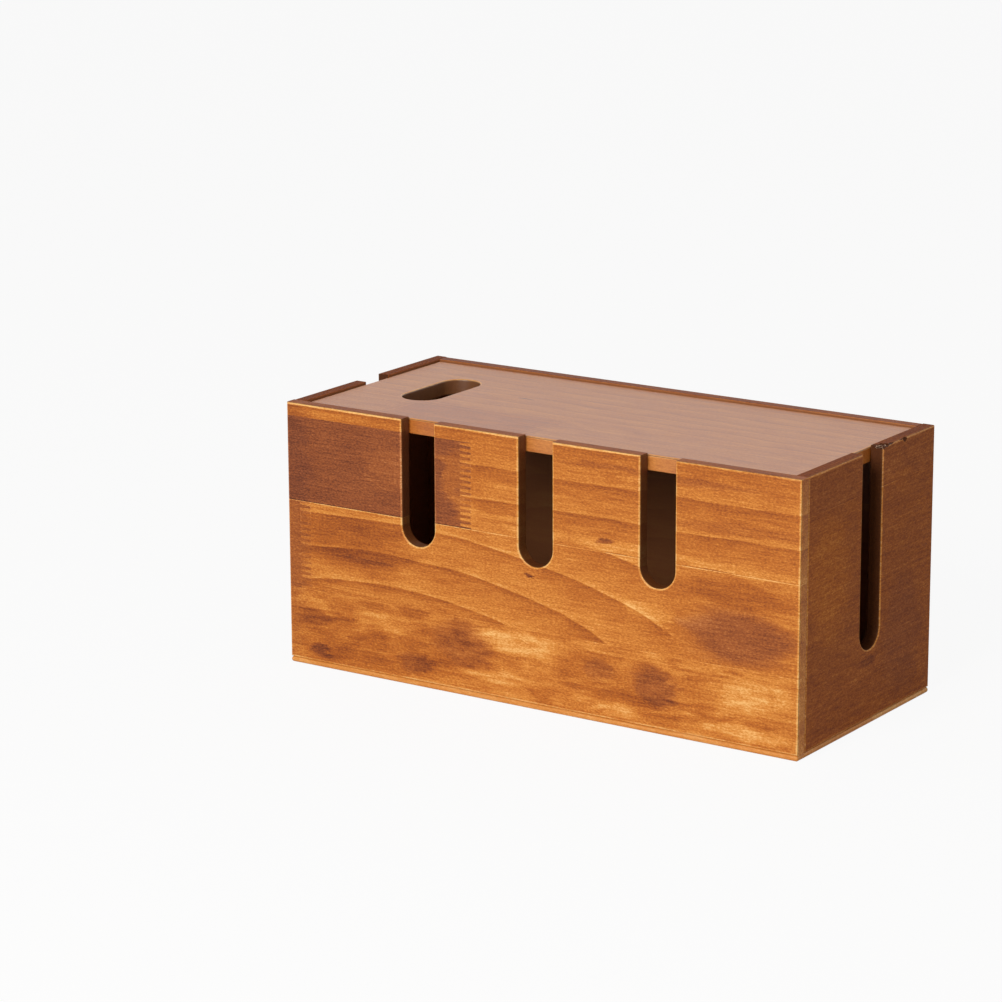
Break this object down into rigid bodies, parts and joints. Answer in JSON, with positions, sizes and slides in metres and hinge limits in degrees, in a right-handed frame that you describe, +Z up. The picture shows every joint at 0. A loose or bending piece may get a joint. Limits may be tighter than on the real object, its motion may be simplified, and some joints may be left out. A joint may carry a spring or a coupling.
{
  "type": "cable management box",
  "caption": "Lidded wooden box that hides a power strip, with round-bottomed cable slots in the front and ends and a loose drop-in lid with a hand hole.",
  "frame": {"origin": "middle of the underside, on the surface that the box stands on", "axes": "+X along the length to the right as seen from the front, +Y from the front wall with the slots to the back wall, +Z up"},
  "size_m": [0.305, 0.135, 0.14],
  "materials": {
    "stained_pine": "brown-orange stain under satin varnish",
    "stained_base": "brown-orange stain under satin varnish",
    "stained_lid": "brown stain under satin varnish",
    "plain_softwood": "stained, unvarnished",
    "steel": "plain wire"
  },
  "bodies": {
    "box": {"front_panel": "stained_pine", "back_panel": "stained_pine", "left_panel": "stained_pine", "right_panel": "stained_pine", "base_board": "stained_base", "front_left_post": "plain_softwood", "front_right_post": "plain_softwood", "back_left_post": "plain_softwood", "back_right_post": "plain_softwood", "front_left_brads": "steel", "front_right_brads": "steel", "back_left_brads": "steel", "back_right_brads": "steel", "base_brads": "steel"},
    "lid": {"lid_board": "stained_lid"}
  },
  "joints": [
    {"name": "lid_lift", "type": "slide", "parent": "box", "child": "lid", "axis": [0, 0, 1], "range_m": [0, 0.08]}
  ]
}
